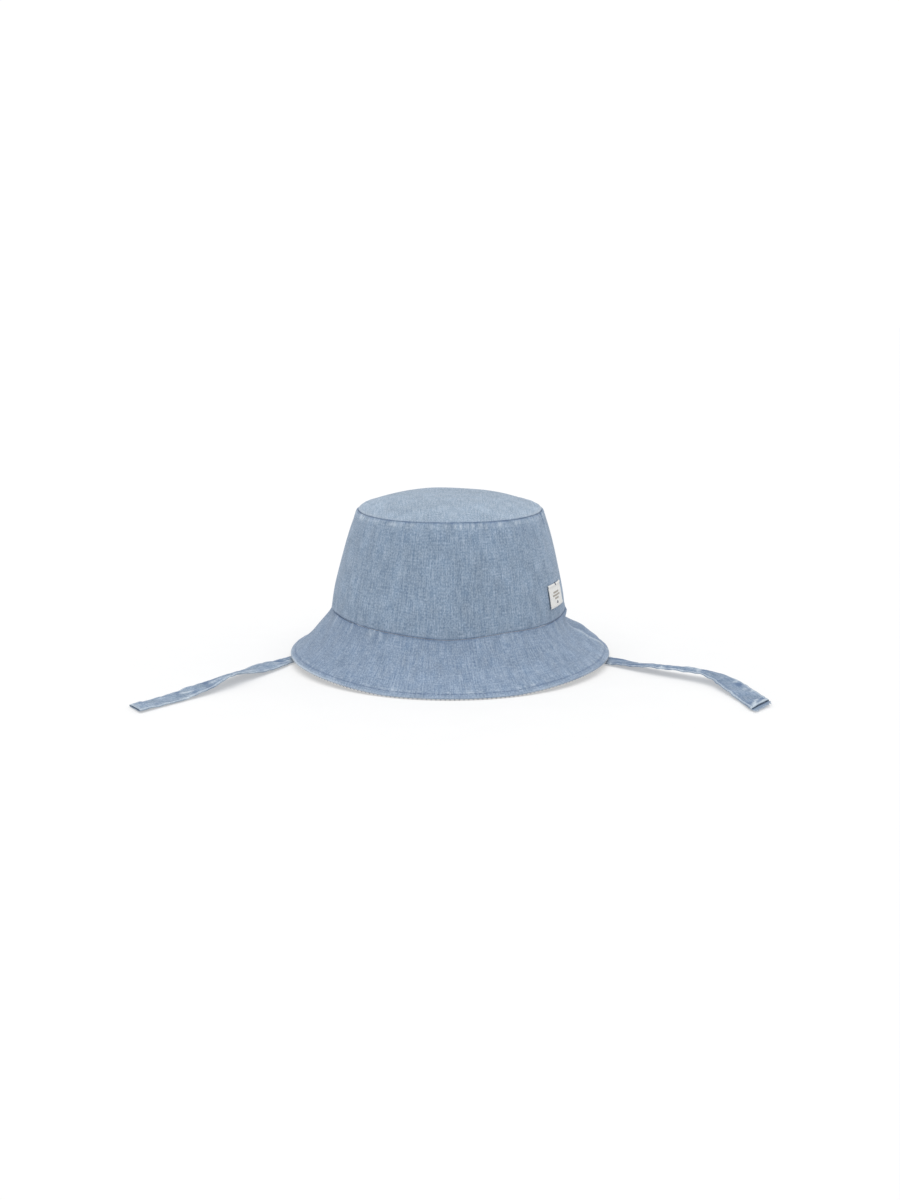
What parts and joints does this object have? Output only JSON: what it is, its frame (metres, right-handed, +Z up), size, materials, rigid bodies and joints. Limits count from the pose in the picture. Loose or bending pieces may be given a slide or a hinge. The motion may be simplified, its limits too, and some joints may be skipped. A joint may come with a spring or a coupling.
{
  "type": "bucket hat",
  "caption": "Small child's chambray bucket hat with a domed oval tip, stitched flared brim, pale dotted lining and two loose cloth chin ties.",
  "frame": {"origin": "centre of the outline that the standing brim covers, on the surface it stands on", "axes": "+Z up through the crown, -Y towards the front of the hat, +X towards the wearer's left where the label is"},
  "size_m": [0.3531, 0.2421, 0.1016],
  "materials": {
    "tip_chambray": "matt woven cotton",
    "crown_chambray": "matt woven cotton with slubs",
    "brim_chambray": "matt woven cotton",
    "tie_chambray": "matt woven cotton",
    "dotted_cotton": "matt printed cotton",
    "interlining": "matt non-woven",
    "blue_thread": "twisted thread",
    "seam_thread": "twisted thread",
    "label_weave": "satin woven tape",
    "label_thread": "twisted thread"
  },
  "bodies": {
    "hat": {"crown_tip": "tip_chambray", "crown_side_front": "crown_chambray", "crown_side_back": "crown_chambray", "brim_upper_front": "brim_chambray", "brim_upper_back": "brim_chambray", "brim_interlining_front": "interlining", "brim_interlining_back": "interlining", "brim_under_front": "dotted_cotton", "brim_under_back": "dotted_cotton", "lining_tip": "dotted_cotton", "lining_side_front": "dotted_cotton", "lining_side_back": "dotted_cotton", "brim_edge_topstitch": "blue_thread", "tip_seam_thread": "seam_thread", "base_seam_thread": "seam_thread", "side_seam_thread_left": "seam_thread", "side_seam_thread_right": "seam_thread", "label": "label_weave", "label_stitch_top": "label_thread", "label_stitch_bottom": "label_thread", "tie_tack_left": "seam_thread", "tie_tack_right": "seam_thread"},
    "left_tie": {"tie_left": "tie_chambray"},
    "right_tie": {"tie_right": "tie_chambray"}
  },
  "joints": [
    {"name": "tie_left_swing", "type": "hinge", "parent": "hat", "child": "left_tie", "pos_m": [-0.0688, 0, 0.0308], "axis": [0, -1, 0], "range_deg": [0, 75]},
    {"name": "tie_right_swing", "type": "hinge", "parent": "hat", "child": "right_tie", "pos_m": [0.0668, 0, 0.0288], "axis": [0, 1, 0], "range_deg": [0, 75]}
  ]
}
